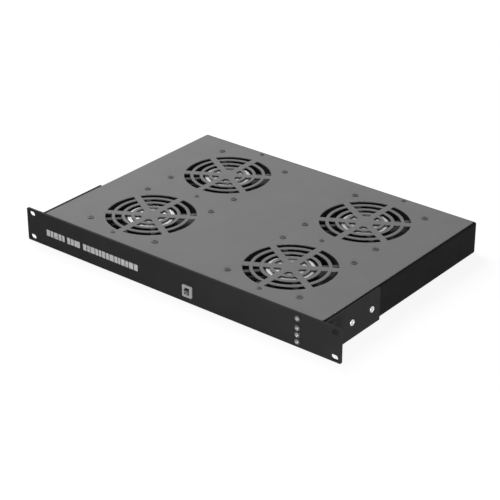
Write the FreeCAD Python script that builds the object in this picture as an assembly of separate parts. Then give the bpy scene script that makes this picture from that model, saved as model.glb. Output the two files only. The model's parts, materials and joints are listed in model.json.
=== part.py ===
"""Rack fan tray, one rack unit high: four axial fans under a punched cover, in a 19-inch chassis.

Millimetres. +X to the right seen from the front, +Y to the rear, +Z up. The origin is the centre of
the four rack slots, on the rear face of the front panel, which is the face that meets the rack.
"""
import FreeCAD, Part
import os
from math import asin, cos, pi, radians, sin, sqrt, tan

# ---------------------------------------------------------------- driving dimensions
# Front panel, to the 19-inch rack standard
panel_w = 482.6
panel_h = 43.7
panel_t = 3.0
panel_corner_r = 1.5
panel_edge_r = 0.5
rack_slot_from_end = 8.75    # slots lie 465.1 apart
rack_slot_from_edge = 5.975  # and 31.75 apart
rack_slot_l = 10.3
rack_slot_w = 6.8

# Folded sheet chassis
chassis_w = 430.0
sheet_t = 1.2
bend_r = 2.0                 # outside radius of the folds
rim_w = 14.0                 # inward rim that carries the cover
flange_w = 20.0              # inward flange that carries the floor
cover_t = 1.2
cover_corner_r = 1.5
cover_side_inset = 2.5
cover_front_inset = 1.0
cover_rear_inset = 3.0
fit_gap = 0.3                # left round things that pass each other or through a cut-out

# Fans: square flanged housing round a barrel, external-rotor motor
fan_side = 119.0
fan_depth = 38.0
fan_front_gap = 20.5         # from the panel to the front row
fan_row_gap = 30.0
fan_column_gap = 98.0
fan_rear_gap = 25.5          # from the rear row to the end of the chassis
fan_floor_gap = 1.4
fan_hole_from_edge = 7.1
fan_hole_d = 4.4
fan_corner_r = 7.0
fan_flange_t = 4.5
fan_barrel_t = 1.8
fan_barrel_inset = 0.7       # barrel inside the side of the flange
fan_flare = 1.5              # chamfer at the mouth of the bore
strut_count = 4
strut_first = 45.0           # degrees from +X
strut_w = 6.0
strut_recess = 1.6           # struts and hub lie this far below the flange face
strut_depth = 5.0
strut_fit = 0.1              # struts to the bore
hub_r = 31.0
motor_cap_inset = 2.0
motor_cap_t = 0.6

# Rotor: pressed cup over the stator, with blades welded round it
rotor_gap = 1.2              # between hub and rotor cup
rotor_cup_inset = 1.0
rotor_cup_wall = 2.2
rotor_foot_gap = 4.2         # rotor cup above the lower flange face
blade_count = 7
blade_tip_gap = 1.2
blade_root_chord = 25.0
blade_tip_chord = 36.0
blade_root_pitch = 44.0      # degrees from the plane of rotation
blade_tip_pitch = 27.0
blade_camber = 3.2
blade_t = 2.0
blade_edge_t = 0.8
blade_trim = 3.0             # the loft runs this far past root and tip before it is trimmed
shaft_r = 2.5
shaft_running_gap = 0.05
shaft_stub = 1.0             # shaft above its bearing
shaft_room = 1.0             # free space round the stub
bearing_wall = 2.5
bearing_l = 16.0
tube_wall = 1.8
stator_gap = 1.0             # stator poles to rotor cup
stator_sides = 8
stator_h = 13.0

# Punched grille of the cover
grille_lip = 0.6             # sheet left inside the edge of the fan's bore
grille_eye_r = 12.0          # plain middle
grille_slot_w = 8.0
grille_pitch = 12.0
grille_spokes = 6
grille_spoke_w = 8.4
grille_first_spoke = 30.0    # degrees from +X

# Air openings of the floor, between the same spokes
intake_inner_r = 24.0
intake_bar_r = 40.2
intake_bar_w = 4.0

# Screws
screw_hole_gap = 0.2
m4_r = 2.0
m4_head_r = 4.0
m4_head_h = 2.4
m4_low_head_h = 1.0          # the fans' screws stay inside the rack unit
m3_r = 1.5
m3_head_r = 2.8
m3_head_h = 1.6
m3_low_head_h = 0.9
fan_screw_l = 9.0
cover_screw_l = 5.0
inlet_screw_l = 7.0
side_screw_l = 8.0
side_screw_y = (48.5, 87.0)
side_screw_z = 0.0

# Angles outside the walls that tie them to the ears of the panel
bracket_t = 3.0
bracket_l = 105.0
bracket_foot = 9.0           # behind the ear, clear of the rack rails

# Structure inside
front_rail_w = 19.0
front_rail_h = 12.0
front_rail_from_led = 22.0   # end of the rail to the middle of the indicators
front_screw_from_edge = 3.5  # from the free edge of the front rail
cross_w = 20.0
cross_h = 15.0
cover_screw_x = 113.0
cross_screw_x = 98.0
rear_screw_from_end = 8.0
rear_tab_w = 12.0

# Rocker switch, in the front panel
switch_x = 21.5
switch_z = -5.8
switch_bezel_w = 14.0
switch_bezel_h = 15.5
switch_bezel_t = 2.0
switch_bezel_corner_r = 1.2
switch_cutout_corner_r = 0.5
switch_body_w = 11.8
switch_body_h = 13.6
switch_body_d = 14.0
switch_wall = 2.2
rocker_gap = 0.35
rocker_tilt = 10.0           # degrees each side of upright
rocker_pivot_r = 1.2
rocker_pivot_depth = 1.2     # pins into the side walls
rocker_pivot_y = 3.0         # pivot behind the panel's front face
rocker_proud = 1.6           # paddle beyond the bezel
rocker_dish = 0.9
rocker_back = 3.0
rocker_edge_r = 0.4
switch_tab_w = 4.8
switch_tab_t = 0.8
switch_tab_l = 7.0
switch_tab_rise = 2.4        # tabs above and below the middle of the switch

# Column of indicators, the top one apart from the others
led_from_side = 33.0         # from the outside of the chassis
led_top_z = 15.2
led_first_step = 12.0
led_pitch = 8.7
led_count = 4
led_r = 2.5
led_bezel_r = 3.6
led_bezel_t = 1.0
led_l = 7.0
board_w = 12.0
board_margin = 4.0           # board beyond the outermost indicators
board_t = 1.6

# Mains inlet in the rear panel
inlet_x = 0.0
inlet_flange_w = 50.0
inlet_flange_h = 24.0
inlet_flange_t = 3.0
inlet_flange_corner_r = 6.0
inlet_body_w = 27.5
inlet_body_h = 19.5
inlet_body_d = 22.0
inlet_mouth_w = 24.0
inlet_mouth_h = 16.5
inlet_mouth_d = 16.5
inlet_screw_pitch = 40.0
pin_w = 2.0
pin_h = 4.0
pin_l = 26.0
pin_tail = 6.0               # solder tail behind the inlet
pin_pitch = 7.0
pin_rise = 2.0               # earth pin above the middle, the others below

# Terminal strip and wiring in the middle bay
lead_z = -11.5               # height at which the leads run
lead_bend_r = 12.0
lead_bend_share = 0.45       # most of the shorter run that a bend may take
lead_exit = 25.0             # straight out of a tab or pin
lead_approach = 40.0         # straight in to the strip
fan_lead_r = 1.7
wire_r = 1.1
terminal_ways = 9
terminal_pitch = 9.0
terminal_d = 20.0
terminal_h = 17.0
terminal_neck_d = 10.0
terminal_step_h = 11.0
terminal_well_r = 2.2
terminal_well_depth = 5.5
terminal_screw_h = 2.1
terminal_slit_w = 1.1
terminal_slit_depth = 2.8
clip_w = 6.0
clip_wall = 1.6
led_lead_y = 13.0
led_lead_clips = 2
earth_stud_x = -26.0
earth_stud_y = 252.0
earth_stud_h = 9.0
earth_side_step = 8.0

# ---------------------------------------------------------------- sizes worked out from them
V = FreeCAD.Vector
over = 1.0                           # cutters run this far past what they cut
chassis_d = fan_front_gap + 2 * fan_side + fan_row_gap + fan_rear_gap
chassis_h = cover_t + fan_depth + fan_floor_gap + 2 * sheet_t
z_bottom = -panel_h / 2
z_top = z_bottom + chassis_h
z_rim = z_top - cover_t              # the cover and the fans meet this level
z_flange = z_bottom + sheet_t
z_floor = z_flange + sheet_t         # the floor lies on the flanges
x_side = chassis_w / 2               # outer face of a side wall
x_wall = x_side - sheet_t            # inner face of a side wall
x_rim = x_side - rim_w               # inner edge of the rim
x_flange = x_side - flange_w
x_sheet = x_wall - (bend_r - sheet_t)    # sheets between the walls stop short of the folds
y_rear = chassis_d
y_back_sheet = chassis_d - sheet_t   # inner face of the rear panel
led_x = x_side - led_from_side

fan_bore_r = fan_side / 2 - fan_barrel_inset - fan_barrel_t
fan_hole_pitch = fan_side - 2 * fan_hole_from_edge
fan_pitch_x = fan_side + fan_column_gap
front_row_y = fan_front_gap + fan_side / 2
rear_row_y = chassis_d - fan_rear_gap - fan_side / 2
fan_centres = {
    "front_left": (-fan_pitch_x / 2, front_row_y),
    "front_right": (fan_pitch_x / 2, front_row_y),
    "rear_left": (-fan_pitch_x / 2, rear_row_y),
    "rear_right": (fan_pitch_x / 2, rear_row_y),
}
fan_screw_places = [
    V(x + sx * fan_hole_pitch / 2, y + sy * fan_hole_pitch / 2, 0)
    for x, y in fan_centres.values()
    for sx in (-1, 1)
    for sy in (-1, 1)
]
cross_y = (front_row_y + rear_row_y) / 2
front_screw_y = front_rail_w - front_screw_from_edge
rear_screw_y = chassis_d - rear_screw_from_end
cover_screw_places = [
    V(side * x, y, 0)
    for side in (-1, 1)
    for x, y in (
        (cover_screw_x, front_screw_y),
        (cross_screw_x, cross_y),
        (cover_screw_x, rear_screw_y),
    )
]

grille_outer_r = fan_bore_r - grille_lip
grille_bar_w = grille_pitch - grille_slot_w
grille_rings = int((grille_outer_r - grille_eye_r + grille_bar_w) / grille_pitch)


# ---------------------------------------------------------------- helpers
def box(x0, x1, y0, y1, z0, z1):
    return Part.makeBox(x1 - x0, y1 - y0, z1 - z0, V(x0, y0, z0))


def rod(r, length, start, axis):
    return Part.makeCylinder(r, length, start, axis)


def arc(cx, cy, r, a0, a1):
    """Arc in the XY plane from angle a0 to angle a1, in radians."""
    mid = (a0 + a1) / 2
    ends = [V(cx + r * cos(a), cy + r * sin(a), 0) for a in (a0, mid, a1)]
    return Part.Arc(*ends).toShape()


def circle_wire(centre, r):
    return Part.Wire(Part.makeCircle(r, centre))


def rounded_rectangle(w, h, r):
    """Closed wire in the XY plane, centred on the origin."""
    x, y = w / 2 - r, h / 2 - r
    quarter = pi / 2
    corners = [(x, y), (-x, y), (-x, -y), (x, -y)]
    arcs = [arc(cx, cy, r, k * quarter, (k + 1) * quarter) for k, (cx, cy) in enumerate(corners)]
    edges = []
    for this, following in zip(arcs, arcs[1:] + arcs[:1]):
        start, end = this.Vertexes[-1].Point, following.Vertexes[0].Point
        edges.append(this)
        if start.distanceToPoint(end) > Part.Precision.confusion():
            edges.append(Part.LineSegment(start, end).toShape())
    return Part.Wire(edges)


def oblong(length, w):
    """Closed wire of a slot with round ends along X, centred on the origin."""
    reach, r = (length - w) / 2, w / 2
    right = arc(reach, 0, r, -pi / 2, pi / 2)
    left = arc(-reach, 0, r, pi / 2, 3 * pi / 2)
    top = Part.LineSegment(V(reach, r, 0), V(-reach, r, 0)).toShape()
    bottom = Part.LineSegment(V(-reach, -r, 0), V(reach, -r, 0)).toShape()
    return Part.Wire([right, top, left, bottom])


def plate(outline, holes, thickness):
    """Sheet with holes, from wires in the XY plane, extruded along +Z."""
    face = Part.makeFace([outline] + holes, "Part::FaceMakerBullseye")
    return face.extrude(V(0, 0, thickness))


def moved(shape, x, y, z):
    copy = shape.copy()
    copy.translate(V(x, y, z))
    return copy


def turned(shape, axis, angle):
    """Copy turned about an axis through the origin by an angle in degrees."""
    copy = shape.copy()
    copy.rotate(V(0, 0, 0), axis, angle)
    return copy


def standing(shape, y):
    """A plate drawn in XY, stood up in XZ with its back face at y."""
    return moved(turned(shape, V(1, 0, 0), 90), 0, y, 0)


def fuse(shapes):
    return shapes[0].multiFuse(shapes[1:]).removeSplitter()


def screw(r, length, head_r, head_h, seat, axis):
    """Cheese-head screw: the head stands on the seat, the shank goes the way of axis."""
    head = rod(head_r, head_h, seat, axis * -1)
    shank = rod(r, length, seat, axis)
    return fuse([head, shank])


def save(name, shapes):
    """One STEP file for the node, with all its solids."""
    solids = [solid for shape in shapes for solid in shape.Solids]
    result = solids[0] if len(solids) == 1 else Part.makeCompound(solids)
    result.exportStep("parts/" + name + ".step")


# ---------------------------------------------------------------- sheet parts
def slot_wire(cx, cy, r_in, r_out, spoke_w, a0, a1):
    """Curved slot between two spokes whose centre lines lie at angles a0 and a1."""
    out0 = a0 + asin(spoke_w / 2 / r_out)
    out1 = a1 - asin(spoke_w / 2 / r_out)
    in0 = a0 + asin(spoke_w / 2 / r_in)
    in1 = a1 - asin(spoke_w / 2 / r_in)
    outer = arc(cx, cy, r_out, out0, out1)
    inner = arc(cx, cy, r_in, in0, in1)
    side0 = Part.LineSegment(inner.Vertexes[0].Point, outer.Vertexes[0].Point).toShape()
    side1 = Part.LineSegment(outer.Vertexes[-1].Point, inner.Vertexes[-1].Point).toShape()
    return Part.Wire(Part.__sortEdges__([outer, side1, inner, side0]))


def spoked_slots(cx, cy, rings):
    """Slots of one fan, for rings given as (inner radius, outer radius)."""
    step = 2 * pi / grille_spokes
    first = radians(grille_first_spoke)
    return [
        slot_wire(cx, cy, r_in, r_out, grille_spoke_w, first + k * step, first + (k + 1) * step)
        for r_in, r_out in rings
        for k in range(grille_spokes)
    ]


def top_cover():
    rings = [
        (grille_outer_r - k * grille_pitch - grille_slot_w, grille_outer_r - k * grille_pitch)
        for k in range(grille_rings)
    ]
    w = chassis_w - 2 * cover_side_inset
    d = chassis_d - cover_front_inset - cover_rear_inset
    outline = rounded_rectangle(w, d, cover_corner_r)
    outline.translate(V(0, cover_front_inset + d / 2, 0))
    holes = [circle_wire(p, m4_r + screw_hole_gap) for p in fan_screw_places]
    holes += [circle_wire(p, m3_r + screw_hole_gap) for p in cover_screw_places]
    for cx, cy in fan_centres.values():
        holes += spoked_slots(cx, cy, rings)
    return moved(plate(outline, holes, cover_t), 0, 0, z_rim)


def side_wall(side):
    """Folded channel: a wall, the rim that carries the cover and the flange that carries the floor."""
    w, h = chassis_w, z_rim - z_bottom
    outer = rounded_rectangle(w, h, bend_r)
    inner = rounded_rectangle(w - 2 * sheet_t, h - 2 * sheet_t, bend_r - sheet_t)
    ring = moved(standing(plate(outer, [inner], chassis_d), chassis_d), 0, 0, z_bottom + h / 2)
    middle = z_bottom + h / 2
    above_floor = box(-w, x_rim, -over, chassis_d + over, middle, z_rim + over)
    below_cover = box(-w, x_flange, -over, chassis_d + over, z_bottom - over, middle)
    holes = [
        rod(m4_r, sheet_t + 2 * over, V(x_wall - over, y, side_screw_z), V(1, 0, 0))
        for y in side_screw_y
    ]
    wall = ring.cut([above_floor, below_cover] + holes)
    return wall if side > 0 else wall.mirror(V(0, 0, 0), V(1, 0, 0))


def floor_sheet():
    """Flat floor on the flanges, with two rings of air openings under each fan."""
    rings = [
        (intake_inner_r, intake_bar_r - intake_bar_w / 2),
        (intake_bar_r + intake_bar_w / 2, grille_outer_r),
    ]
    outline = Part.makePolygon([
        V(sx * x_sheet, y, 0)
        for sx, y in ((-1, 0), (1, 0), (1, chassis_d), (-1, chassis_d), (-1, 0))
    ])
    holes = []
    for cx, cy in fan_centres.values():
        holes += spoked_slots(cx, cy, rings)
    return moved(plate(outline, holes, sheet_t), 0, 0, z_flange)


def front_panel():
    slot_x, slot_z = panel_w / 2 - rack_slot_from_end, panel_h / 2 - rack_slot_from_edge
    holes = [
        moved(oblong(rack_slot_l, rack_slot_w), sx * slot_x, sz * slot_z, 0)
        for sx in (-1, 1)
        for sz in (-1, 1)
    ]
    cutout_w, cutout_h = switch_body_w + 2 * fit_gap, switch_body_h + 2 * fit_gap
    cutout = rounded_rectangle(cutout_w, cutout_h, switch_cutout_corner_r)
    holes.append(moved(cutout, switch_x, switch_z, 0))
    holes += [circle_wire(V(led_x, z, 0), led_r + fit_gap) for z in led_heights()]
    panel = standing(plate(rounded_rectangle(panel_w, panel_h, panel_corner_r), holes, panel_t), 0)
    rim = [edge for edge in panel.Edges if on_front_rim(edge.CenterOfMass)]
    return panel.makeFillet(panel_edge_r, rim)


def on_front_rim(point):
    """True for a point on the outer edge of the panel's front face."""
    on_face = abs(point.y + panel_t) < panel_edge_r / 2
    near_end = abs(point.x) > panel_w / 2 - panel_corner_r
    near_edge = abs(point.z) > panel_h / 2 - panel_corner_r
    return on_face and (near_end or near_edge)


def rear_panel():
    """Sheet between the side walls, with a tab on the floor and a rim under the cover."""
    wall_h = z_rim - sheet_t - z_floor
    wall = standing(plate(rounded_rectangle(2 * x_wall, wall_h, bend_r - sheet_t), [], sheet_t), y_rear)
    wall = moved(wall, 0, 0, z_floor + wall_h / 2)
    half = x_rim - fit_gap
    neck = box(-half, half, y_back_sheet, y_rear, z_rim - sheet_t, z_rim)
    rim = box(-half, half, y_rear - rim_w, y_rear, z_rim - sheet_t, z_rim)
    tab = box(-half, half, y_rear - rear_tab_w, y_rear, z_floor, z_floor + sheet_t)
    sheet = fuse([wall, neck, rim, tab])
    hole_w, hole_h = inlet_body_w / 2 + fit_gap, inlet_body_h / 2 + fit_gap
    cuts = [box(inlet_x - hole_w, inlet_x + hole_w, y_back_sheet - over, y_rear + over, -hole_h, hole_h)]
    for side in (-1, 1):
        start = V(inlet_x + side * inlet_screw_pitch / 2, y_back_sheet - over, 0)
        cuts.append(rod(m3_r, sheet_t + 2 * over, start, V(0, 1, 0)))
        start = V(side * cover_screw_x, rear_screw_y, z_rim - sheet_t - over)
        cuts.append(rod(m3_r, sheet_t + 2 * over, start, V(0, 0, 1)))
    return sheet.cut(cuts)


def panel_bracket(side):
    """Angle outside one side wall that ties the wall to the ear of the front panel."""
    leg = box(x_side, x_side + bracket_t, 0, bracket_l, z_bottom, z_rim)
    foot = box(x_side, x_side + bracket_foot, 0, bracket_t, z_bottom, z_rim)
    angle = fuse([leg, foot])
    holes = [
        rod(m4_r + screw_hole_gap, bracket_t + 2 * over, V(x_side - over, y, side_screw_z), V(1, 0, 0))
        for y in side_screw_y
    ]
    angle = angle.cut(holes)
    return angle if side > 0 else angle.mirror(V(0, 0, 0), V(1, 0, 0))


def front_rail():
    """Angle behind the top edge of the panel that carries the front edge of the cover."""
    x = led_x - front_rail_from_led
    shelf = box(-x, x, 0, front_rail_w, z_rim - sheet_t, z_rim)
    apron = box(-x, x, 0, sheet_t, z_rim - front_rail_h, z_rim)
    rail = fuse([shelf, apron])
    low = z_rim - sheet_t - over
    holes = [
        rod(m3_r, sheet_t + 2 * over, V(side * cover_screw_x, front_screw_y, low), V(0, 0, 1))
        for side in (-1, 1)
    ]
    return rail.cut(holes)


def cross_member():
    """Channel between the two rows of fans, from wall to wall under the cover."""
    y0, y1 = cross_y - cross_w / 2, cross_y + cross_w / 2
    x = x_rim - fit_gap
    web = box(-x, x, y0, y1, z_rim - sheet_t, z_rim)
    low, high = z_rim - cross_h, z_rim - sheet_t
    legs = [
        box(-x_sheet, x_sheet, y0, y0 + sheet_t, low, high),
        box(-x_sheet, x_sheet, y1 - sheet_t, y1, low, high),
    ]
    channel = fuse([web] + legs)
    start_z = z_rim - sheet_t - over
    holes = [
        rod(m3_r, sheet_t + 2 * over, V(side * cross_screw_x, cross_y, start_z), V(0, 0, 1))
        for side in (-1, 1)
    ]
    return channel.cut(holes)


# ---------------------------------------------------------------- fan, drawn with its top face at z = 0
rotor_cup_r = hub_r - rotor_cup_inset
tube_bore_r = shaft_r + shaft_running_gap + bearing_wall
tube_r = tube_bore_r + tube_wall
hub_under = -strut_recess - strut_depth
cup_top = hub_under - rotor_gap
cup_floor = rotor_foot_gap - fan_depth
tube_end = cup_floor + rotor_cup_wall + rotor_gap
shaft_top = tube_end + bearing_l + shaft_stub
blade_mid = (cup_top + cup_floor) / 2


def upright(r, z0, z1):
    """Round bar about the fan's axis from z0 to z1."""
    return rod(r, z1 - z0, V(0, 0, z0), V(0, 0, 1))


def fan_housing():
    """Barrel between two square flanges, with a flare at its lower mouth."""
    square = rounded_rectangle(fan_side, fan_side, fan_corner_r)
    corners = [
        circle_wire(V(sx * fan_hole_pitch / 2, sy * fan_hole_pitch / 2, 0), fan_hole_d / 2)
        for sx in (-1, 1)
        for sy in (-1, 1)
    ]
    flange = plate(square, corners, fan_flange_t)
    barrel = upright(fan_bore_r + fan_barrel_t, -fan_depth, 0)
    shell = fuse([barrel, moved(flange, 0, 0, -fan_flange_t), moved(flange, 0, 0, -fan_depth)])
    bore = upright(fan_bore_r, -fan_depth - over, over)
    flare = Part.makeCone(fan_bore_r + fan_flare, fan_bore_r, fan_flare, V(0, 0, -fan_depth), V(0, 0, 1))
    return shell.cut([bore, flare])


def fan_spider():
    """Motor carrier: hub, bearing tube and the struts that reach the bore."""
    hub = upright(hub_r, hub_under, -strut_recess)
    tube = upright(tube_r, tube_end, -strut_recess)
    bar = box(0, fan_side / 2, -strut_w / 2, strut_w / 2, hub_under, -strut_recess)
    up = V(0, 0, 1)
    struts = [turned(bar, up, strut_first + k * 360 / strut_count) for k in range(strut_count)]
    spider = fuse([hub, tube] + struts).common(upright(fan_bore_r - strut_fit, tube_end, -strut_recess))
    bearing_seat = upright(tube_bore_r, tube_end, tube_end + bearing_l)
    stub_room = upright(shaft_r + shaft_room, tube_end, shaft_top + shaft_room)
    return spider.cut([bearing_seat, stub_room])


def fan_rotor():
    """Cup, open at the top over the stator, pressed on the shaft."""
    cup = upright(rotor_cup_r, cup_floor, cup_top)
    hollow = upright(rotor_cup_r - rotor_cup_wall, cup_floor + rotor_cup_wall, cup_top + over)
    return cup.cut([hollow, upright(shaft_r, cup_floor - over, cup_top)])


def blade_section(r, chord, pitch):
    """Cambered blade section on the plane x = r."""
    a = radians(pitch)
    along = V(0, cos(a), sin(a))
    across = V(0, -sin(a), cos(a))
    centre = V(r, 0, blade_mid)
    start, end = centre - along * (chord / 2), centre + along * (chord / 2)
    crown = centre + across * blade_camber
    thick = across * (blade_t / 2)
    thin = across * (blade_edge_t / 2)
    upper = Part.Arc(start + thin, crown + thick, end + thin).toShape()
    lower = Part.Arc(start - thin, crown - thick, end - thin).toShape()
    nose = Part.LineSegment(start + thin, start - thin).toShape()
    tail = Part.LineSegment(end + thin, end - thin).toShape()
    return Part.Wire(Part.__sortEdges__([upper, tail, lower, nose]))


def fan_blades():
    """Ring of twisted blades, trimmed to the cup at the root and to a running gap at the tip."""
    tip_r = fan_bore_r - blade_tip_gap
    sections = [
        blade_section(rotor_cup_r - blade_trim, blade_root_chord, blade_root_pitch),
        blade_section(tip_r + blade_trim, blade_tip_chord, blade_tip_pitch),
    ]
    blade = Part.makeLoft(sections, True, True)
    blade = blade.common(upright(tip_r, cup_floor, cup_top)).cut(upright(rotor_cup_r, cup_floor, cup_top))
    return [turned(blade, V(0, 0, 1), k * 360 / blade_count) for k in range(blade_count)]


def fan_shaft():
    return upright(shaft_r, cup_floor, shaft_top)


def fan_bearing():
    sleeve = upright(tube_bore_r, tube_end, tube_end + bearing_l)
    return sleeve.cut(upright(shaft_r + shaft_running_gap, tube_end, tube_end + bearing_l))


def fan_stator():
    """Many-sided lamination stack with its coils, pushed on the bearing tube."""
    r = rotor_cup_r - rotor_cup_wall - stator_gap
    step = 2 * pi / stator_sides
    points = [V(r * cos(k * step), r * sin(k * step), 0) for k in range(stator_sides)]
    outline = Part.makePolygon(points + points[:1])
    stack = plate(outline, [circle_wire(V(0, 0, 0), tube_r)], stator_h)
    return moved(stack, 0, 0, (cup_top + tube_end - stator_h) / 2)


def motor_cap():
    """Bright disc on the hub, seen through the inner slots of the grille."""
    return upright(hub_r - motor_cap_inset, -strut_recess, motor_cap_t - strut_recess)


# ---------------------------------------------------------------- switch
rocker_axis_y = rocker_pivot_y - panel_t


def switch_body():
    """Bezel in front of the panel and an open box behind it, with pivot holes for the rocker."""
    outline = rounded_rectangle(switch_bezel_w, switch_bezel_h, switch_bezel_corner_r)
    bezel = moved(standing(plate(outline, [], switch_bezel_t), -panel_t), switch_x, 0, switch_z)
    w, h = switch_body_w / 2, switch_body_h / 2
    body = box(switch_x - w, switch_x + w, -panel_t, switch_body_d, switch_z - h, switch_z + h)
    w -= switch_wall
    h -= switch_wall
    front = -panel_t - switch_bezel_t - over
    pocket = box(switch_x - w, switch_x + w, front, switch_body_d - switch_wall, switch_z - h, switch_z + h)
    reach = w + rocker_pivot_depth
    pivot = rod(rocker_pivot_r, 2 * reach, V(switch_x - reach, rocker_axis_y, switch_z), V(1, 0, 0))
    return fuse([bezel, body]).cut([pocket, pivot])


def switch_rocker():
    """Dished paddle with a rounded back, on pivot pins in the two side walls."""
    w = switch_body_w / 2 - switch_wall - rocker_gap
    front = -panel_t - switch_bezel_t - rocker_proud
    tilt = radians(rocker_tilt)
    room = switch_body_h / 2 - switch_wall - rocker_gap
    h = (room - (rocker_axis_y - front) * sin(tilt)) / cos(tilt)
    face = Part.Arc(V(0, front, h), V(0, front + rocker_dish, 0), V(0, front, -h)).toShape()
    under = Part.LineSegment(V(0, front, -h), V(0, rocker_axis_y, -h)).toShape()
    back = Part.Arc(
        V(0, rocker_axis_y, -h), V(0, rocker_axis_y + rocker_back, 0), V(0, rocker_axis_y, h)
    ).toShape()
    top = Part.LineSegment(V(0, rocker_axis_y, h), V(0, front, h)).toShape()
    section = Part.Face(Part.Wire([face, under, back, top]))
    paddle = moved(section, switch_x - w, 0, switch_z).extrude(V(2 * w, 0, 0))
    rim = [edge for edge in paddle.Edges if edge.BoundBox.YMax < front + rocker_dish + rocker_edge_r]
    paddle = paddle.makeFillet(rocker_edge_r, rim)
    reach = switch_body_w / 2 - switch_wall + rocker_pivot_depth - shaft_running_gap
    pin_r = rocker_pivot_r - shaft_running_gap
    pins = rod(pin_r, 2 * reach, V(switch_x - reach, rocker_axis_y, switch_z), V(1, 0, 0))
    rocker = fuse([paddle, pins])
    rocker.rotate(V(switch_x, rocker_axis_y, switch_z), V(1, 0, 0), rocker_tilt)
    return rocker


def switch_tabs():
    """Two push-on terminals at the back of the switch."""
    w, t = switch_tab_w / 2, switch_tab_t / 2
    return [
        box(switch_x - w, switch_x + w, switch_body_d, switch_body_d + switch_tab_l, z - t, z + t)
        for z in (switch_z - switch_tab_rise, switch_z + switch_tab_rise)
    ]


# ---------------------------------------------------------------- indicators
led_tip_y = -panel_t - led_bezel_t
board_y = led_tip_y + led_l


def led_heights():
    """From the top one down."""
    return [led_top_z] + [led_top_z - led_first_step - k * led_pitch for k in range(led_count - 1)]


def led_bezel(z):
    ring = rod(led_bezel_r, led_bezel_t, V(led_x, led_tip_y, z), V(0, 1, 0))
    return ring.cut(rod(led_r + fit_gap, led_bezel_t + 2 * over, V(led_x, led_tip_y - over, z), V(0, 1, 0)))


def led_lens(z):
    """Round body with a domed front."""
    back = led_tip_y + led_l
    rise = led_r / sqrt(2)
    nose, shoulder = V(0, led_tip_y - led_r, 0), V(led_r, led_tip_y, 0)
    dome = Part.Arc(nose, V(rise, led_tip_y - rise, 0), shoulder).toShape()
    rest = Part.makePolygon([shoulder, V(led_r, back, 0), V(0, back, 0), nose])
    profile = Part.Face(Part.Wire([dome] + rest.Edges))
    return moved(profile.revolve(V(0, 0, 0), V(0, 1, 0), 360), led_x, 0, z)


def led_board():
    w = board_w / 2
    low, high = led_heights()[-1] - board_margin, led_top_z + board_margin
    return box(led_x - w, led_x + w, board_y, board_y + board_t, low, high)


# ---------------------------------------------------------------- mains inlet
def power_inlet():
    """Flanged socket with a deep mouth, let through the rear panel."""
    face = y_rear + inlet_flange_t
    outline = rounded_rectangle(inlet_flange_w, inlet_flange_h, inlet_flange_corner_r)
    holes = [circle_wire(V(side * inlet_screw_pitch / 2, 0, 0), m3_r + screw_hole_gap) for side in (-1, 1)]
    flange = standing(plate(outline, holes, inlet_flange_t), face)
    w, h = inlet_body_w / 2, inlet_body_h / 2
    body = box(-w, w, y_rear - inlet_body_d, y_rear + inlet_flange_t / 2, -h, h)
    w, h = inlet_mouth_w / 2, inlet_mouth_h / 2
    mouth = box(-w, w, face - inlet_mouth_d, face + over, -h, h)
    return moved(fuse([flange, body]).cut([mouth]), inlet_x, 0, 0).cut(inlet_pins())


def inlet_pins():
    """Line, neutral and the raised earth pin between them."""
    y0 = y_rear - inlet_body_d - pin_tail
    w, h = pin_w / 2, pin_h / 2
    return [
        box(x - w, x + w, y0, y0 + pin_l, z - h, z + h)
        for x, z in (
            (inlet_x - pin_pitch, -pin_rise),
            (inlet_x, pin_rise),
            (inlet_x + pin_pitch, -pin_rise),
        )
    ]


# ---------------------------------------------------------------- wiring
last_way = (terminal_ways - 1) // 2
terminal_top = z_floor + terminal_h
strip_front, strip_back = cross_y - terminal_d / 2, cross_y + terminal_d / 2
pin_end_y = y_rear - inlet_body_d - pin_tail


def lead(points, r):
    """Round lead along straight runs joined by tangent arcs."""
    stops = [V(*p) for p in points]
    edges = []
    start = stops[0]
    for before, corner, after in zip(stops, stops[1:], stops[2:]):
        way_in = (corner - before).normalize()
        way_out = (after - corner).normalize()
        half_turn = way_in.getAngle(way_out) / 2
        shorter = min((corner - before).Length, (after - corner).Length)
        back = min(lead_bend_share * shorter, lead_bend_r * tan(half_turn))
        radius = back / tan(half_turn)
        inward = (way_out - way_in).normalize()
        first, last = corner - way_in * back, corner + way_out * back
        middle = corner + inward * (radius / cos(half_turn) - radius)
        edges.append(Part.LineSegment(start, first).toShape())
        edges.append(Part.Arc(first, middle, last).toShape())
        start = last
    edges.append(Part.LineSegment(start, stops[-1]).toShape())
    profile = Part.Wire(Part.makeCircle(r, stops[0], stops[1] - stops[0]))
    return Part.Wire(edges).makePipeShell([profile], True, False)


def way_x(number):
    """Place of a terminal, counted from the middle one."""
    return number * terminal_pitch


def terminal_block():
    """Barrier strip on the floor: stepped section, wells over the clamps, slits between the ways."""
    half, neck = terminal_d / 2, terminal_neck_d / 2
    step, top = z_floor + terminal_step_h, terminal_top
    w = terminal_ways * terminal_pitch
    outline = [(-half, z_floor), (half, z_floor), (half, step), (neck, step), (neck, top),
               (-neck, top), (-neck, step), (-half, step), (-half, z_floor)]
    section = Part.Face(Part.makePolygon([V(-w / 2, cross_y + y, z) for y, z in outline]))
    strip = section.extrude(V(w, 0, 0))
    well_floor = top - terminal_well_depth
    wells = [
        rod(terminal_well_r, terminal_well_depth + over, V(way_x(k), cross_y, well_floor), V(0, 0, 1))
        for k in range(-last_way, last_way + 1)
    ]
    front, back = strip_front - over, strip_back + over
    slit_floor, t = top - terminal_slit_depth, terminal_slit_w / 2
    slits = [
        box(way_x(k + 0.5) - t, way_x(k + 0.5) + t, front, back, slit_floor, top + over)
        for k in range(-last_way, last_way)
    ]
    return strip.cut(wells + slits)


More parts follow.
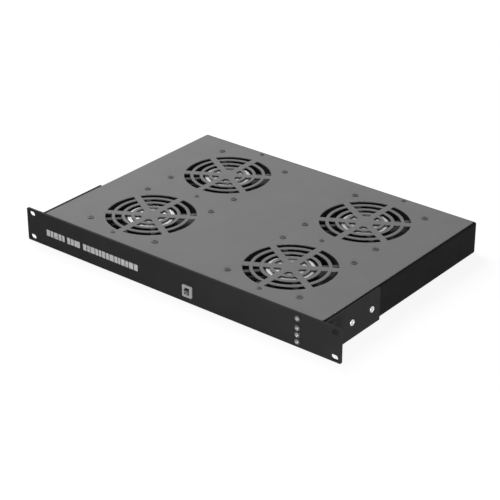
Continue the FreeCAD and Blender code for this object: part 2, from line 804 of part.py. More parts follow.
def terminal_screws():
    well_floor = terminal_top - terminal_well_depth
    return [
        rod(terminal_well_r, terminal_screw_h, V(way_x(k), cross_y, well_floor), V(0, 0, 1))
        for k in range(-last_way, last_way + 1)
    ]


def fan_leads():
    """One lead from the barrel of each fan to the outermost way on its side."""
    barrel_x = fan_pitch_x / 2 - fan_bore_r - fan_barrel_t
    leads = []
    for x, y in fan_centres.values():
        side = 1 if x > 0 else -1
        way = side * way_x(last_way)
        end_y = strip_front if y < cross_y else strip_back
        leads.append(lead([(side * barrel_x, y, lead_z), (way, y, lead_z), (way, end_y, lead_z)], fan_lead_r))
    return leads


def switch_leads():
    """Two wires from the switch tabs to the strip."""
    start_y = switch_body_d + switch_tab_l
    wires = []
    for side, way in ((-1, 2), (1, 1)):
        z = switch_z + side * switch_tab_rise
        wires.append(lead([
            (switch_x, start_y, z),
            (switch_x, start_y + lead_exit, z),
            (way_x(way), strip_front - lead_approach, lead_z),
            (way_x(way), strip_front, lead_z),
        ], wire_r))
    return wires


def supply_leads():
    """Line and neutral from the inlet to the strip."""
    wires = []
    for side in (-1, 1):
        x = inlet_x + side * pin_pitch
        wires.append(lead([
            (x, pin_end_y, -pin_rise),
            (x, pin_end_y - lead_exit, -pin_rise),
            (way_x(side), strip_back + lead_approach, lead_z),
            (way_x(side), strip_back, lead_z),
        ], wire_r))
    return wires


def earth_lead():
    low = z_floor + earth_stud_h / 2
    return lead([
        (inlet_x, pin_end_y, pin_rise),
        (inlet_x, pin_end_y - lead_exit, pin_rise),
        (inlet_x - earth_side_step, earth_stud_y, low),
        (earth_stud_x + m4_r, earth_stud_y, low),
    ], wire_r)


def indicator_lead():
    """From the indicator board along the front bay, then back to the strip."""
    way = way_x(last_way - 1)
    return lead([
        (led_x, board_y + board_t, lead_z),
        (led_x, led_lead_y, lead_z),
        (way, led_lead_y, lead_z),
        (way, strip_front, lead_z),
    ], wire_r)


def cable_clip(x, y, r, axis):
    """Saddle that stands on the floor and grips a lead running along axis."""
    half = clip_w / 2
    clip = box(x - half, x + half, y - half, y + half, z_floor, lead_z + r + clip_wall)
    return clip.cut(rod(r, clip_w + 2 * over, V(x, y, lead_z) - axis * (half + over), axis))


def cable_clips():
    along_x, along_y = V(1, 0, 0), V(0, 1, 0)
    clip_y = (front_row_y + cross_y) / 2
    clips = [
        cable_clip(led_x * k / (led_lead_clips + 1), led_lead_y, wire_r, along_x)
        for k in range(1, led_lead_clips + 1)
    ]
    clips += [cable_clip(side * way_x(last_way), clip_y, fan_lead_r, along_y) for side in (-1, 1)]
    return clips


# ---------------------------------------------------------------- build
os.makedirs("parts", exist_ok=True)
save("front_panel", [front_panel()])
save("side_wall_left", [side_wall(-1)])
save("side_wall_right", [side_wall(1)])
save("floor_sheet", [floor_sheet()])
save("rear_panel", [rear_panel()])
save("top_cover", [top_cover()])
save("panel_bracket_left", [panel_bracket(-1)])
save("panel_bracket_right", [panel_bracket(1)])
save("front_rail", [front_rail()])
save("cross_member", [cross_member()])

fan_pieces = {
    "fan_housing": [fan_housing()],
    "fan_spider": [fan_spider()],
    "fan_rotor": [fan_rotor()],
    "fan_blades": fan_blades(),
    "fan_shaft": [fan_shaft()],
}
for place, (x, y) in fan_centres.items():
    for name, pieces in fan_pieces.items():
        save(name + "_" + place, [moved(piece, x, y, z_rim) for piece in pieces])
inner_pieces = {"fan_bearings": fan_bearing(), "fan_stators": fan_stator(), "motor_caps": motor_cap()}
for name, piece in inner_pieces.items():
    save(name, [moved(piece, x, y, z_rim) for x, y in fan_centres.values()])

down = V(0, 0, -1)
save("fan_screws", [
    screw(m4_r, fan_screw_l, m4_head_r, m4_low_head_h, p + V(0, 0, z_top), down) for p in fan_screw_places
])
save("cover_screws", [
    screw(m3_r, cover_screw_l, m3_head_r, m3_low_head_h, p + V(0, 0, z_top), down) for p in cover_screw_places
])
save("side_screws", [
    screw(m4_r, side_screw_l, m4_head_r, m4_head_h,
          V(side * (x_side + bracket_t), y, side_screw_z), V(-side, 0, 0))
    for side in (-1, 1)
    for y in side_screw_y
])
save("switch_body", [switch_body()])
save("switch_rocker", [switch_rocker()])
save("switch_tabs", switch_tabs())
save("led_bezels", [led_bezel(z) for z in led_heights()])
save("led_lenses", [led_lens(z) for z in led_heights()])
save("led_board", [led_board()])
save("power_inlet", [power_inlet()])
save("inlet_pins", inlet_pins())
save("inlet_screws", [
    screw(m3_r, inlet_screw_l, m3_head_r, m3_head_h,
          V(inlet_x + side * inlet_screw_pitch / 2, y_rear + inlet_flange_t, 0), V(0, -1, 0))
    for side in (-1, 1)
])
save("terminal_block", [terminal_block()])
save("terminal_screws", terminal_screws())
save("fan_leads", fan_leads())
save("switch_leads", switch_leads())
save("supply_leads", supply_leads())
save("earth_lead", [earth_lead()])
save("earth_stud", [rod(m4_r, earth_stud_h, V(earth_stud_x, earth_stud_y, z_floor), V(0, 0, 1))])
save("indicator_lead", [indicator_lead()])
save("cable_clips", cable_clips())
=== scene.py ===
"""Looks of the rack fan tray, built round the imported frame: a finish for every CAD node, and the screws,
print and rocker marks that the solids leave plain. Metres, in the frame of the CAD model."""

import json
from itertools import cycle
from math import cos, pi, radians, sin

import bmesh
import bpy
from mathutils import Matrix, Vector


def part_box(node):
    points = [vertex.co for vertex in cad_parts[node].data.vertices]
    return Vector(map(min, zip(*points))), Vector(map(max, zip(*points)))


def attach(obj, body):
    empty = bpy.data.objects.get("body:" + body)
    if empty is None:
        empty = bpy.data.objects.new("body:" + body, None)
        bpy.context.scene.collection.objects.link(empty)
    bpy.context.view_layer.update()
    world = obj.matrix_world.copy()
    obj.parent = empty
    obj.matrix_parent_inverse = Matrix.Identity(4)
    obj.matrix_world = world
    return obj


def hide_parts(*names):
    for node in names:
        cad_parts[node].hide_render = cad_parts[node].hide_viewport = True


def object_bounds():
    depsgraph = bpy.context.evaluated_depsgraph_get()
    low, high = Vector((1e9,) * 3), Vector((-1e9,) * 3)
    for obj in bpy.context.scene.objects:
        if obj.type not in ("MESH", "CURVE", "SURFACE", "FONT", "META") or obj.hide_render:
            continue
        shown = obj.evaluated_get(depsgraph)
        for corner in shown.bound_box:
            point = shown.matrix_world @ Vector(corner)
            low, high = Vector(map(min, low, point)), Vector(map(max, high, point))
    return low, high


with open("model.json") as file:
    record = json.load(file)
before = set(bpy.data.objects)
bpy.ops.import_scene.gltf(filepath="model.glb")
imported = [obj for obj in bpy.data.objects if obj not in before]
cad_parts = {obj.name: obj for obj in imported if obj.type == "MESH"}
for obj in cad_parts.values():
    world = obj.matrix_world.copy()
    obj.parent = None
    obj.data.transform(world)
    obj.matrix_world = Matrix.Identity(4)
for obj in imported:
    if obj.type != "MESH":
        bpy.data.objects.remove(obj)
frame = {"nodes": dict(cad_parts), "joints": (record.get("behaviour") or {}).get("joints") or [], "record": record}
cad_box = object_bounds()
MM = 0.001                     # a millimetre, in metres

# ---------------------------------------------------------------- places taken from the frame
cover_top_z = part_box("top_cover")[1].z
panel_face_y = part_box("front_panel")[0].y
tray_lo, tray_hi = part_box("floor_sheet")
FAN_PLACES = ("front_left", "front_right", "rear_left", "rear_right")


def cap_centres():
    """Middle of each motor cap's upper face, on its fan's axis."""
    top_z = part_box("motor_caps")[1].z
    shafts = [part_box("fan_shaft_" + place) for place in FAN_PLACES]
    return [((lo.x + hi.x) / 2, (lo.y + hi.y) / 2, top_z) for lo, hi in shafts]


# ---------------------------------------------------------------- node helpers
MIX_FACTOR, MIX_A, MIX_B, MIX_RESULT = 0, 6, 7, 2     # sockets of a Mix node that mixes colours
NOISE_LOW, NOISE_HIGH = 0.3, 0.7                      # between these lies nearly all of a noise
BEVEL_SAMPLES = 6
FLAT, SHARP = 0.995, 0.85      # how far the true and the softened direction agree on a face and an edge


class Nodes:
    """Short-hand for building a node tree, which it empties first unless told to keep it."""

    def __init__(self, owner, keep=False):
        owner.use_nodes = True
        self.tree = owner.node_tree
        if not keep:
            self.tree.nodes.clear()

    def feed(self, socket, value):
        """Links another node's output to the socket, or sets a plain value on it."""
        if isinstance(value, bpy.types.NodeSocket):
            self.tree.links.new(value, socket)
        else:
            socket.default_value = value

    def add(self, kind, inputs, **settings):
        node = self.tree.nodes.new(kind)
        for key, value in settings.items():
            setattr(node, key, value)
        for key, value in inputs.items():
            self.feed(node.inputs[key], value)
        return node

    def math(self, operation, a, b=0.0):
        return self.add("ShaderNodeMath", {0: a, 1: b}, operation=operation).outputs[0]

    def mix(self, factor, a, b):
        inputs = {MIX_FACTOR: factor, MIX_A: a, MIX_B: b}
        return self.add("ShaderNodeMix", inputs, data_type="RGBA").outputs[MIX_RESULT]

    def ramp(self, value, low, high, out_low=0.0, out_high=1.0):
        """The value, led from the range low to high over to the range out_low to out_high."""
        return self.add("ShaderNodeMapRange", {
            "Value": value, "From Min": low, "From Max": high, "To Min": out_low, "To Max": out_high,
        }).outputs["Result"]

    def place(self):
        return self.add("ShaderNodeTexCoord", {}).outputs["Object"]

    def noise(self, scale, detail, roughness=0.5, vector=None):
        return self.add("ShaderNodeTexNoise", {
            "Vector": vector or self.place(), "Scale": scale, "Detail": detail, "Roughness": roughness,
        }).outputs["Fac"]

    def soft_normal(self, radius):
        """The surface's direction, rounded off at the edges."""
        return self.add("ShaderNodeBevel", {"Radius": radius}, samples=BEVEL_SAMPLES).outputs["Normal"]

    def edges(self, radius):
        """1 on sharp edges and 0 on flat faces."""
        flat = self.add("ShaderNodeNewGeometry", {}).outputs["Normal"]
        inputs = {0: self.soft_normal(radius), 1: flat}
        agreement = self.add("ShaderNodeVectorMath", inputs, operation="DOT_PRODUCT").outputs["Value"]
        return self.ramp(agreement, FLAT, SHARP)

    def backdrop_rays(self):
        """1 for rays that show the backdrop: from the camera, off gloss and through glass."""
        rays = self.add("ShaderNodeLightPath", {}).outputs
        mirrored = self.math("MAXIMUM", rays["Is Glossy Ray"], rays["Is Transmission Ray"])
        return self.math("MAXIMUM", rays["Is Camera Ray"], mirrored)


class Finish(Nodes):
    """Node tree of a new material round its Principled shader."""

    def __init__(self, name):
        self.material = bpy.data.materials.new(name)
        super().__init__(self.material, keep=True)
        self.shader = self.tree.nodes["Principled BSDF"]

    def set(self, **values):
        for key, value in values.items():
            self.feed(self.shader.inputs[key.replace("_", " ")], value)

    def rough_between(self, low, high, noise):
        self.set(Roughness=self.ramp(noise, NOISE_LOW, NOISE_HIGH, low, high))

    def bump(self, height, strength, distance, radius=0.0):
        """Bumps of that distance, on edges that look rounded by the radius."""
        inputs = {"Height": height, "Strength": strength, "Distance": distance}
        if radius:
            inputs["Normal"] = self.soft_normal(radius)
        self.set(Normal=self.add("ShaderNodeBump", inputs).outputs["Normal"])


def grey(value):
    return (value, value, value, 1.0)


def scaled(colour, share):
    """The colour made darker or lighter, with its alpha."""
    return tuple(min(1.0, channel * share) for channel in colour) + (1.0,)


# ---------------------------------------------------------------- finishes
def powder_coat(name, tone, rough, specular, wear, grain=0.35, mottle=0.08):
    """Baked powder paint: orange-peel grain, faint mottling, rubbed edges."""
    rubbed_tone = min(1.0, tone * 3 + 0.08)
    n = Finish(name)
    cloud = n.ramp(n.noise(scale=22, detail=4), 0.35, 0.65)
    paint = n.mix(cloud, grey(tone * (1 - mottle)), grey(tone * (1 + mottle)))
    scuffs = n.ramp(n.noise(scale=160, detail=6, roughness=0.7), 0.58, 0.72)
    rubbed = n.math("MULTIPLY", n.edges(radius=0.5 * MM), n.math("MULTIPLY", scuffs, wear))
    n.set(Base_Color=n.mix(rubbed, paint, grey(rubbed_tone)), Specular_IOR_Level=specular)
    n.rough_between(rough - 0.025, rough + 0.025, n.noise(scale=60, detail=3))
    peel = n.noise(scale=1500, detail=2, roughness=0.6)
    n.bump(peel, strength=grain, distance=0.15 * MM, radius=0.4 * MM)
    return n.material


def sheet_metal(name, tone, rough, tint=(1, 1, 1)):
    """Plated or plain metal, with a fine drawn grain along X and a faint spangle."""
    colour = tuple(tone * channel for channel in tint)
    n = Finish(name)
    spangle = n.ramp(n.noise(scale=90, detail=4), 0.4, 0.6)
    n.set(Base_Color=n.mix(spangle, scaled(colour, 0.85), scaled(colour, 1)), Metallic=1.0)
    stretched = n.add("ShaderNodeMapping", {"Vector": n.place(), "Scale": (0.06, 1.0, 1.0)}).outputs[0]
    drawn = n.noise(scale=900, detail=3, roughness=0.6, vector=stretched)
    n.rough_between(rough - 0.08, rough + 0.1, drawn)
    n.bump(drawn, strength=0.15, distance=0.05 * MM, radius=0.2 * MM)
    return n.material


def plastic(name, colour, rough, specular=0.5):
    """Moulded plastic with a spark-eroded grain."""
    n = Finish(name)
    cloud = n.ramp(n.noise(scale=40, detail=3), 0.35, 0.65)
    n.set(Base_Color=n.mix(cloud, scaled(colour, 0.9), scaled(colour, 1.08)), Specular_IOR_Level=specular)
    n.rough_between(rough - 0.05, rough + 0.05, n.noise(scale=300, detail=2))
    n.bump(n.noise(scale=1800, detail=2), strength=0.15, distance=0.1 * MM, radius=0.25 * MM)
    return n.material


def turned_disc(name, tone, centres):
    """Turned aluminium: fine grooves round the nearest of the centres."""
    groove_pitch = 0.7 * MM
    n = Finish(name)
    place = n.place()
    reach = None
    for centre in centres:
        inputs = {0: place, 1: centre}
        distance = n.add("ShaderNodeVectorMath", inputs, operation="DISTANCE").outputs["Value"]
        reach = distance if reach is None else n.math("MINIMUM", reach, distance)
    groove = n.math("SINE", n.math("MULTIPLY", reach, 2 * pi / groove_pitch))
    cloud = n.ramp(n.noise(scale=70, detail=4), 0.4, 0.6)
    n.set(Base_Color=n.mix(cloud, grey(tone * 0.85), grey(tone)), Metallic=1.0)
    n.set(Roughness=n.ramp(groove, -1, 1, 0.32, 0.44))
    n.bump(groove, strength=0.25, distance=0.04 * MM)
    return n.material


def lens(name):
    """Unlit moulded lens: grey, under a clear gloss."""
    n = Finish(name)
    cloud = n.noise(scale=500, detail=2)
    n.set(Base_Color=n.mix(cloud, grey(0.17), grey(0.26)), Specular_IOR_Level=0.6)
    n.rough_between(0.08, 0.16, cloud)
    n.set(Coat_Weight=0.6, Coat_Roughness=0.05)
    return n.material


def striped_insulation(name):
    """Green insulation with yellow stripes."""
    green, yellow = (0.05, 0.3, 0.04, 1), (0.75, 0.62, 0.03, 1)
    n = Finish(name)
    inputs = {"Vector": n.place(), "Scale": 260.0}
    wave = n.add("ShaderNodeTexWave", inputs, bands_direction="Z").outputs["Fac"]
    n.set(Base_Color=n.mix(n.ramp(wave, 0.45, 0.55), green, yellow))
    n.rough_between(0.38, 0.5, n.noise(scale=400, detail=2))
    return n.material


def solder_mask(name):
    """Green lacquer over a board's copper."""
    n = Finish(name)
    board = n.add("ShaderNodeTexBrick", {
        "Vector": n.place(), "Scale": 180.0, "Mortar Size": 0.03,
        "Color1": (0.02, 0.1, 0.05, 1), "Color2": (0.025, 0.12, 0.055, 1), "Mortar": (0.05, 0.18, 0.09, 1),
    })
    n.set(Base_Color=board.outputs["Color"], Coat_Weight=0.3)
    n.rough_between(0.25, 0.4, n.noise(scale=300, detail=2))
    return n.material


def print_ink(name, tone):
    """Pale screen-printed ink with a slightly worn face."""
    n = Finish(name)
    worn = n.ramp(n.noise(scale=420, detail=5, roughness=0.65), 0.32, 0.55)
    n.set(Base_Color=n.mix(worn, grey(tone * 0.62), grey(tone)), Specular_IOR_Level=0.3)
    n.set(Roughness=n.ramp(worn, 0, 1, 0.7, 0.5))
    n.bump(n.noise(scale=1500, detail=2), strength=0.2, distance=0.1 * MM)
    return n.material


BRASS, BRONZE, ZINC = (1.0, 0.8, 0.42), (1.0, 0.72, 0.4), (0.98, 1.0, 1.03)
FINISHES = {
    "panel_black": powder_coat("panel_black", 0.018, rough=0.6, specular=0.07, wear=0.12),
    # chassis_black is the panel's black paint made darker and less glossy: painted shade for the tray's sides.
    "chassis_black": powder_coat("chassis_black", 0.0095, rough=0.6, specular=0.03, wear=0.12),
    # The cover's mid-grey tone is painted sheen: the light that overhead lamps give a black top, set into its
    # colour.
    "cover_grey": powder_coat(
        "cover_grey", 0.186, rough=0.62, specular=0.12, wear=0.1, grain=0.22, mottle=0.025),
    "screw_black": powder_coat("screw_black", 0.05, rough=0.45, specular=0.3, wear=0.5),
    "fan_housing": powder_coat("fan_housing", 0.022, rough=0.45, specular=0.3, wear=0.1),
    "zinc_sheet": sheet_metal("zinc_sheet", 0.55, rough=0.35, tint=ZINC),
    "bearing_bronze": sheet_metal("bearing_bronze", 0.6, rough=0.45, tint=BRONZE),
    "stator_steel": sheet_metal("stator_steel", 0.25, rough=0.55),
    "screw_bright": sheet_metal("screw_bright", 0.68, rough=0.24),
    "tab_brass": sheet_metal("tab_brass", 0.75, rough=0.3, tint=BRASS),
    "bezel_chrome": sheet_metal("bezel_chrome", 0.16, rough=0.35),
    "pin_nickel": sheet_metal("pin_nickel", 0.7, rough=0.22),
    "shaft_steel": sheet_metal("shaft_steel", 0.62, rough=0.2),
    "switch_light": plastic("switch_light", (0.3, 0.3, 0.293), rough=0.4),
    "rocker_dark": plastic("rocker_dark", (0.035, 0.035, 0.036), rough=0.3, specular=0.4),
    "inlet_black": plastic("inlet_black", (0.022, 0.022, 0.023), rough=0.42, specular=0.35),
    "terminal_white": plastic("terminal_white", (0.68, 0.67, 0.62), rough=0.45),
    "lead_black": plastic("lead_black", (0.018, 0.018, 0.018), rough=0.5, specular=0.3),
    "clip_nylon": plastic("clip_nylon", (0.6, 0.59, 0.55), rough=0.4),
    "fan_blades": plastic("fan_blades", (0.03, 0.03, 0.032), rough=0.38, specular=0.4),
    "cap_aluminium": turned_disc("cap_aluminium", 0.47, cap_centres()),
    "led_clear": lens("led_clear"),
    "lead_earth": striped_insulation("lead_earth"),
    "board_green": solder_mask("board_green"),
    "print_pale": print_ink("print_pale", 0.53),
}

slot_of_node = {part["node"]: part["material_slot"] for part in frame["record"]["subparts"]}


def dress(obj, slot):
    obj.data.materials.clear()
    obj.data.materials.append(FINISHES[slot])


for node_name, node in frame["nodes"].items():
    dress(node, slot_of_node[node_name])


# ---------------------------------------------------------------- mesh helpers
SHARP_ANGLE = radians(35)
WELD = 0.002 * MM              # corners this near each other are one, after a cut
CORNER_STEPS = 6


def object_from(mesh, name, slot, body="chassis"):
    """A new piece that rides on the body. The record has no slot for print."""
    obj = bpy.data.objects.new(name, mesh)
    mesh.name = name
    bpy.context.scene.collection.objects.link(obj)
    dress(obj, slot)
    mesh.polygons.foreach_set("use_smooth", [True] * len(mesh.polygons))
    mesh.set_sharp_from_angle(angle=SHARP_ANGLE)
    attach(obj, body)
    return obj


def mesh_from(bm, name):
    bmesh.ops.recalc_face_normals(bm, faces=bm.faces)
    mesh = bpy.data.meshes.new(name)
    bm.to_mesh(mesh)
    bm.free()
    return mesh


def joined(meshes, name):
    bm = bmesh.new()
    for mesh in meshes:
        bm.from_mesh(mesh)
        bpy.data.meshes.remove(mesh)
    return mesh_from(bm, name)


def lathe(profile, segments, closed=False):
    """Solid of revolution about Z, from (radius, height) points.

    The points start and end on the axis, or go right round the section where it is closed."""
    bm = bmesh.new()
    rings = []
    for r, z in profile:
        turns = [2 * pi * k / segments for k in range(segments)] if r else [0]
        rings.append([bm.verts.new((r * cos(a), r * sin(a), z)) for a in turns])
    for low, high in zip(rings, rings[1:] + rings[:1] if closed else rings[1:]):
        for k in range(segments):
            around = ((low, k), (low, k + 1), (high, k + 1), (high, k))
            corners = dict.fromkeys(ring[j % len(ring)] for ring, j in around)     # once where two meet
            bm.faces.new(list(corners))
    return mesh_from(bm, "lathe")


def between(low, high):
    """Solid between two outlines of equally many (x, y, z) points."""
    bm = bmesh.new()
    low, high = ([bm.verts.new(point) for point in outline] for outline in (low, high))
    bm.faces.new(low)
    bm.faces.new(high)
    for k in range(len(low)):
        j = (k + 1) % len(low)
        bm.faces.new((low[k], low[j], high[j], high[k]))
    return mesh_from(bm, "between")


def prism(outline, depth):
    """Solid of an outline of (x, y) points, from z = 0 up to the depth."""
    return between([(x, y, 0) for x, y in outline], [(x, y, depth) for x, y in outline])


def rounded_outline(w, h, r, steps=CORNER_STEPS):
    x, y = w / 2 - r, h / 2 - r
    return [
        (cx + r * cos((k + i / steps) * pi / 2), cy + r * sin((k + i / steps) * pi / 2))
        for k, (cx, cy) in enumerate(((x, y), (-x, y), (-x, -y), (x, -y)))
        for i in range(steps + 1)
    ]


def cut(mesh, cutter):
    """The mesh with the cutter taken away."""
    body, tool = (bpy.data.objects.new("scratch", m) for m in (mesh, cutter))
    for obj in (body, tool):
        bpy.context.scene.collection.objects.link(obj)
    modifier = body.modifiers.new("cut", "BOOLEAN")
    modifier.operation, modifier.object, modifier.solver = "DIFFERENCE", tool, "EXACT"
    bm = bmesh.new()
    bm.from_mesh(body.evaluated_get(bpy.context.evaluated_depsgraph_get()).data)
    bmesh.ops.remove_doubles(bm, verts=bm.verts, dist=WELD)
    for obj in (body, tool):
        bpy.data.objects.remove(obj)
    return mesh_from(bm, "cut")


# ---------------------------------------------------------------- screws
SIDE_HEAD_HEIGHT = 2.4 * MM    # as the solids have it
SCREW_APART = 16 * MM          # longer than a screw, and shorter than the way to the next one
SCREW_SEGMENTS = 40
RIM_STEPS = 4
RIM_OF_HEIGHT, RIM_OF_RADIUS = 0.55, 0.3       # most that the rounded rim takes of the head
TOP_RING = 0.5                                 # ring on the head's flat top, by the head's radius
SHANK_OF_HEAD = 0.5                            # the shank's radius by the head's
POINT_RADIUS = 0.6                             # these three by the shank's radius
THREAD_PITCH, THREAD_DEPTH = 0.35, 0.1
RECESS_WIDTH, RECESS_REACH = 0.26, 0.56        # by the head's radius
RECESS_DEPTH = 0.7                             # by the head's height
RECESS_TAPER, RECESS_FLARE = 0.6, 1.1          # the recess's size at its bottom and above its mouth
RECESS_OVER = 0.2                              # how far the cutter stands out, by its depth
FIRST_TURN, NEXT_TURN = 0.7, 1.9               # radians, so that no two recesses stand alike


def cross_recess(width, reach, depth):
    """Tapered cross that cuts a driver recess from z = 0 down."""
    w = width / 2
    arm = [(w, w), (w, reach), (-w, reach)]
    quarter_turns = ((1, 0), (0, 1), (-1, 0), (0, -1))
    outline = [(x * c - y * s, x * s + y * c) for c, s in quarter_turns for x, y in arm]
    return between(*(
        [(x * share, y * share, z) for x, y in outline]
        for z, share in ((-depth, RECESS_TAPER), (depth * RECESS_OVER, RECESS_FLARE))
    ))


def screw_mesh(head_r, head_h, shank_r, shank_l):
    """Pan head with a rounded rim and a cross recess, its seat at z = 0 and a threaded shank below."""
    rim = min(head_h * RIM_OF_HEIGHT, head_r * RIM_OF_RADIUS)
    pitch, root_r = shank_r * THREAD_PITCH, shank_r * (1 - THREAD_DEPTH)
    profile = [(0, -shank_l), (shank_r * POINT_RADIUS, -shank_l)]
    for k in range(int((shank_l - pitch) / pitch)):
        z = -shank_l + pitch * (k + 0.5)
        profile += [(root_r, z), (shank_r, z + pitch / 2)]
    profile += [(root_r, 0), (head_r, 0)]
    profile += [
        (head_r - rim + rim * cos(a), head_h - rim + rim * sin(a))
        for a in (pi / 2 * k / RIM_STEPS for k in range(RIM_STEPS + 1))
    ]
    profile += [(head_r * TOP_RING, head_h), (0, head_h)]
    recess = cross_recess(head_r * RECESS_WIDTH, head_r * RECESS_REACH, head_h * RECESS_DEPTH)
    recess.transform(Matrix.Translation((0, 0, head_h)))
    return cut(lathe(profile, SCREW_SEGMENTS), recess)


def boxes_of_screws(node):
    """Lowest and highest corner of each of a node's separate screws."""
    screws = []                # each one's first point, lowest corner and highest corner
    for vertex in frame["nodes"][node].data.vertices:
        p = vertex.co
        screw = next((s for s in screws if (s[0] - p).length < SCREW_APART), None)
        if screw is None:
            screw = [p.copy(), p.copy(), p.copy()]
            screws.append(screw)
        screw[1] = Vector(map(min, screw[1], p))
        screw[2] = Vector(map(max, screw[2], p))
    return [(low, high) for _, low, high in screws]


def detailed_screws(node, slot, facing, seat):
    """Screws with driver recesses and threads in place of a node's plain ones.

    Each head looks along facing, or against it on that side of the origin, and stands seat away from it."""
    screws = []
    for number, (low, high) in enumerate(boxes_of_screws(node)):
        place = (low + high) / 2
        out = facing if place.dot(facing) > 0 else -facing
        axis = max(range(3), key=lambda i: abs(out[i]))
        across = (axis + 1) % 3
        point, top = sorted((low[axis] * out[axis], high[axis] * out[axis]))
        head_r = (high[across] - low[across]) / 2
        screw = screw_mesh(head_r, top - seat, head_r * SHANK_OF_HEAD, seat - point)
        place[axis] = seat * out[axis]
        stand = Vector((0, 0, 1)).rotation_difference(out).to_matrix().to_4x4()
        turn = Matrix.Rotation(FIRST_TURN + NEXT_TURN * number, 4, "Z")
        screw.transform(Matrix.Translation(place) @ stand @ turn)
        screws.append(screw)
    obj = object_from(joined(screws, node), node + "_detailed", slot)
    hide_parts(node)


RIGHT, BACK, UP = Vector((1, 0, 0)), Vector((0, 1, 0)), Vector((0, 0, 1))
detailed_screws("fan_screws", "screw_black", UP, cover_top_z)
detailed_screws("cover_screws", "screw_black", UP, cover_top_z)
detailed_screws("side_screws", "screw_bright", RIGHT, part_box("side_screws")[1].x - SIDE_HEAD_HEIGHT)
detailed_screws("inlet_screws", "screw_black", BACK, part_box("power_inlet")[1].y)


# ---------------------------------------------------------------- panel print, without any lettering
PRINT_RUNS = ((-208.0, -177.5), (-173.0, -151.5), (-146.0, -56.7))     # from and to, mm along the panel
PRINT_WIDTHS = (5.6, 4.4, 6.8, 5.0, 3.6)                               # mm
PRINT_GAP = 1.2                                                        # mm
PRINT_HEIGHT = 8.4 * MM
PRINT_Z = -2.2 * MM
PRINT_THICKNESS = 0.06 * MM
PRINT_CORNER = 0.6 * MM


def print_block(x0, x1):
    block = prism(rounded_outline((x1 - x0) * MM, PRINT_HEIGHT, PRINT_CORNER), PRINT_THICKNESS)
    stand = Matrix.Rotation(pi / 2, 4, "X")
    block.transform(Matrix.Translation(((x0 + x1) / 2 * MM, panel_face_y, PRINT_Z)) @ stand)
    return block


def print_run(x0, x1):
    """A row of plain blocks of uneven widths from x0 to x1."""
    blocks = []
    widths = cycle(PRINT_WIDTHS)
    while x1 - x0 > PRINT_GAP:
        end = x0 + next(widths)
        if x1 - end < min(PRINT_WIDTHS):
            end = x1
        blocks.append(print_block(x0, end))
        x0 = end + PRINT_GAP
    return blocks


print_blocks = [block for run in PRINT_RUNS for block in print_run(*run)]
object_from(joined(print_blocks, "print"), "panel_print", "print_pale")


# ---------------------------------------------------------------- I and O marks on the rocker
MARK_THICKNESS = 0.08 * MM
MARK_STROKE = 0.35 * MM
MARK_RISE = 1.6 * MM           # from the pivot up to the I and down to the O
I_LENGTH = 1.6 * MM
I_CORNER = MARK_STROKE * 0.4
I_CORNER_STEPS = 3
O_RADIUS = 0.7 * MM
O_SEGMENTS = 36
RAY_START = 20 * MM

rocker_joint = next(joint for joint in frame["joints"] if joint["name"] == "rocker_tilt")
rocker_pivot = Vector(rocker_joint["pos_m"])
rest_tilt = -radians(sum(rocker_joint["range_deg"])) / 2       # upright is halfway through its travel


def i_mark():
    mesh = prism(rounded_outline(MARK_STROKE, I_LENGTH, I_CORNER, I_CORNER_STEPS), MARK_THICKNESS)
    mesh.transform(Matrix.Translation((0, MARK_RISE, 0)))
    return mesh


def o_mark():
    outer, inner = O_RADIUS + MARK_STROKE / 2, O_RADIUS - MARK_STROKE / 2
    section = [(outer, 0), (outer, MARK_THICKNESS), (inner, MARK_THICKNESS), (inner, 0)]
    mesh = lathe(section, O_SEGMENTS, closed=True)
    mesh.transform(Matrix.Translation((0, -MARK_RISE, 0)))
    return mesh


def laid_on_rocker(mesh):
    """Lays flat marks, drawn in XY from z = 0 up, on the face of the tilted rocker, half sunk in it."""
    rocker = frame["nodes"]["switch_rocker"]
    tilt = Matrix.Rotation(rest_tilt, 3, "X")
    ahead = tilt @ Vector((0, -1, 0))
    for vertex in mesh.vertices:
        x, up, lift = vertex.co
        start = rocker_pivot + tilt @ Vector((x, 0, up)) + ahead * RAY_START
        _, point, _, _ = rocker.ray_cast(start, -ahead)
        vertex.co = point + ahead * (lift if lift else -MARK_THICKNESS)
    return mesh


rocker_marks = laid_on_rocker(joined([i_mark(), o_mark()], "marks"))
object_from(rocker_marks, "rocker_marks", "print_pale", "rocker")


# ---------------------------------------------------------------- floor and world
FLOOR_REACH = 30.0
FLOOR_BELOW = 0.1 * MM         # from the tray's lowest point down to the floor
FLOOR_TONE = 0.75
FLOOR_SHADE = 0.18             # part of the seen white that the lamps make, and a shadow takes away
FLOOR_GLOW = 0.87              # part of it that glows
GLOW_IN_PAINTED_SHADOW = 0.05            # that glow under the tray, lowered there to paint the tray's shadow
PAINTED_SHADOW_EDGE = 20 * MM         # from the tray's edge inwards to where the painted shadow under the tray is full
WORLD_FILL = 0.27


def painted_shadow_glow(n):
    """Strength of the floor's glow, lowered inside the tray's outline to paint the shadow there, where no light
    reaches.
    """
    place = n.add("ShaderNodeSeparateXYZ", {0: n.place()}).outputs
    # painted shadow: 1 inside the tray's outline, where the glow is lowered
    painted_shadow = 1.0
    for axis in (0, 1):
        for edge, inwards in ((tray_lo[axis], 1), (tray_hi[axis], -1)):
            inside = n.ramp(place[axis], edge, edge + inwards * PAINTED_SHADOW_EDGE)
            painted_shadow = n.math("MULTIPLY", painted_shadow, inside)
    return n.ramp(painted_shadow, 0, 1, FLOOR_GLOW, GLOW_IN_PAINTED_SHADOW)


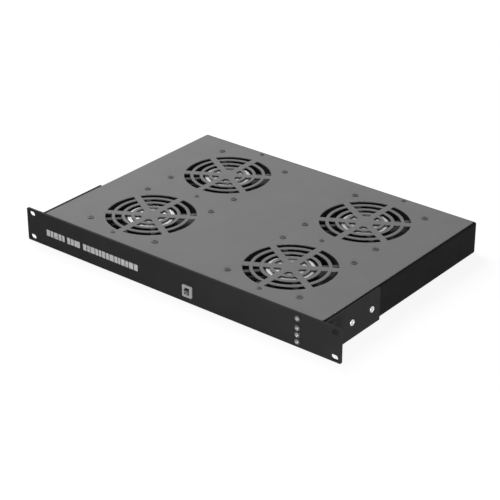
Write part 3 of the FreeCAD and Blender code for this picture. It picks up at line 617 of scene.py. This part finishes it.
def floor_material():
    """White to the camera where nothing shades it, with a painted shadow under the tray, and plain pale paint to
    everything else.
    """
    material = bpy.data.materials.new("floor_pale")
    n = Nodes(material)
    plain = n.add("ShaderNodeBsdfDiffuse", {"Color": grey(FLOOR_TONE)}).outputs[0]
    shaded = n.add("ShaderNodeBsdfDiffuse", {"Color": grey(FLOOR_SHADE)}).outputs[0]
    glow = n.add("ShaderNodeEmission", {"Color": grey(1.0), "Strength": painted_shadow_glow(n)}).outputs[0]
    white = n.add("ShaderNodeAddShader", {0: shaded, 1: glow}).outputs[0]
    surface = n.add("ShaderNodeMixShader", {0: n.backdrop_rays(), 1: plain, 2: white}).outputs[0]
    n.add("ShaderNodeOutputMaterial", {"Surface": surface})
    return material


def stage_floor():
    floor_z = cad_box[0].z - FLOOR_BELOW
    signs = ((-1, -1), (1, -1), (1, 1), (-1, 1))
    bm = bmesh.new()
    bm.faces.new([bm.verts.new((sx * FLOOR_REACH, sy * FLOOR_REACH, floor_z)) for sx, sy in signs])
    floor = bpy.data.objects.new("floor", mesh_from(bm, "floor"))
    bpy.context.scene.collection.objects.link(floor)
    floor.data.materials.append(floor_material())


def stage_world():
    """White to the camera, and a soft fill to everything else."""
    world = bpy.data.worlds.new("studio")
    bpy.context.scene.world = world
    n = Nodes(world)
    fill, white = (
        n.add("ShaderNodeBackground", {"Color": grey(1.0), "Strength": strength}).outputs[0]
        for strength in (WORLD_FILL, 1.0)
    )
    surface = n.add("ShaderNodeMixShader", {0: n.backdrop_rays(), 1: fill, 2: white}).outputs[0]
    n.add("ShaderNodeOutputWorld", {"Surface": surface})


stage_floor()
stage_world()


# ---------------------------------------------------------------- lights and camera
def softbox(name, place, size, power):
    """Square lamp that looks at the middle of the tray, from that place beside it."""
    data = bpy.data.lights.new(name, "AREA")
    data.shape, data.size, data.energy = "SQUARE", size, power
    lamp = bpy.data.objects.new(name, data)
    bpy.context.scene.collection.objects.link(lamp)
    target = Vector((0, (tray_lo.y + tray_hi.y) / 2, 0))
    lamp.location = target + Vector(place)
    lamp.rotation_mode = "QUATERNION"
    lamp.rotation_quaternion = (-Vector(place)).to_track_quat("-Z", "Y")
    lamp.visible_camera = False


softbox("key", place=(-1.35, 0.35, 1.5), size=1.4, power=36)
softbox("corner_fill", place=(0.75, -0.8, 0.12), size=0.2, power=8)

# A product view from the right, aimed round the middle of the panel's front face
CAMERA_AZIMUTH = 38.713
CAMERA_ELEVATION = 27.531
CAMERA_AWAY = 1.9497
CAMERA_RIGHT = 0.08926
CAMERA_UP = 0.03629
CAMERA_LENS = 120.15
SENSOR = 36.0
CLIP_START, CLIP_END = 0.05, 100


def camera():
    data = bpy.data.cameras.new("camera")
    data.sensor_width, data.lens = SENSOR, CAMERA_LENS
    data.clip_start, data.clip_end = CLIP_START, CLIP_END
    obj = bpy.data.objects.new("camera", data)
    bpy.context.scene.collection.objects.link(obj)
    a, e = radians(CAMERA_AZIMUTH), radians(CAMERA_ELEVATION)
    back = Vector((sin(a) * cos(e), -cos(a) * cos(e), sin(e)))
    right = Vector((cos(a), sin(a), 0))
    up = back.cross(right)
    face = Vector((0, panel_face_y, 0))
    obj.location = face + right * CAMERA_RIGHT + up * CAMERA_UP + back * CAMERA_AWAY
    obj.rotation_mode = "QUATERNION"
    obj.rotation_quaternion = (-back).to_track_quat("-Z", "Y")
    bpy.context.scene.camera = obj


camera()
bpy.context.scene.view_settings.view_transform = "Standard"
